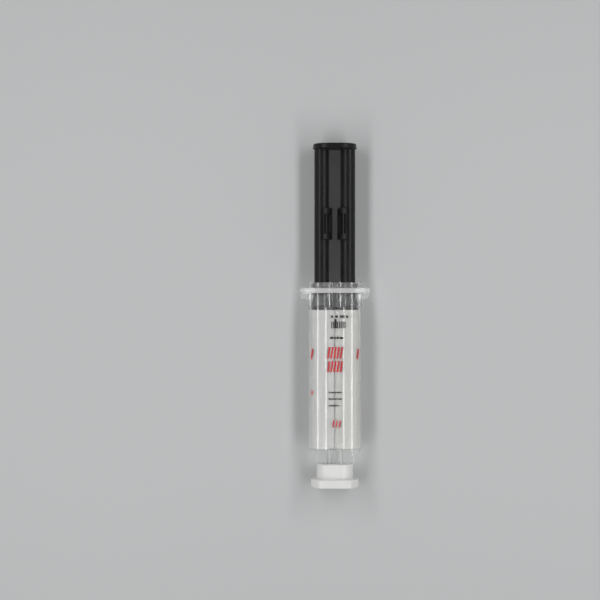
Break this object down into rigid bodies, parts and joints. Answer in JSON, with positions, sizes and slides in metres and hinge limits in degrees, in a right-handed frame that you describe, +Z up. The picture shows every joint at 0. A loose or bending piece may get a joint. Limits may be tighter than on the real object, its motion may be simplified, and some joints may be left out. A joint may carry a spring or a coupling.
{
  "type": "epoxy syringe",
  "caption": "Twin-barrel epoxy syringe with clear barrels, finger flange, black double-rod plunger, ring-sealed pistons, wrapped film label and pull-off white outlet cap.",
  "frame": {"origin": "on the table that the syringe lies on, under the middle of its length and width", "axes": "+X across the two barrels, +Y along the barrels towards the thumb plate, +Z up out of the front of the syringe"},
  "size_m": [0.0358, 0.1756, 0.019],
  "materials": {
    "clear_plastic": "clear moulded polypropylene, slightly hazy",
    "label_film": "clear printed film",
    "white_plastic": "satin white moulding",
    "black_plastic": "semi-gloss black moulding",
    "piston_plastic": "satin dark grey polyethylene",
    "seal_rubber": "black rubber",
    "resin": "clear, slightly milky viscous liquid",
    "hardener": "slightly milky, faintly yellow viscous liquid"
  },
  "bodies": {
    "barrel": {"twin_barrel": "clear_plastic", "label_film": "label_film", "resin_charge": "resin", "hardener_charge": "hardener"},
    "plunger": {"plunger": "black_plastic", "resin_piston": "piston_plastic", "hardener_piston": "piston_plastic", "resin_seal_ring": "seal_rubber", "hardener_seal_ring": "seal_rubber"},
    "cap": {"outlet_cap": "white_plastic"}
  },
  "joints": [
    {"name": "plunger_slide", "type": "slide", "parent": "barrel", "child": "plunger", "axis": [0, -1, 0], "range_m": [0, 0.068], "deforming": ["resin_charge", "hardener_charge"]},
    {"name": "cap_pull", "type": "slide", "parent": "barrel", "child": "cap", "axis": [0, -1, 0], "range_m": [0, 0.025]}
  ]
}
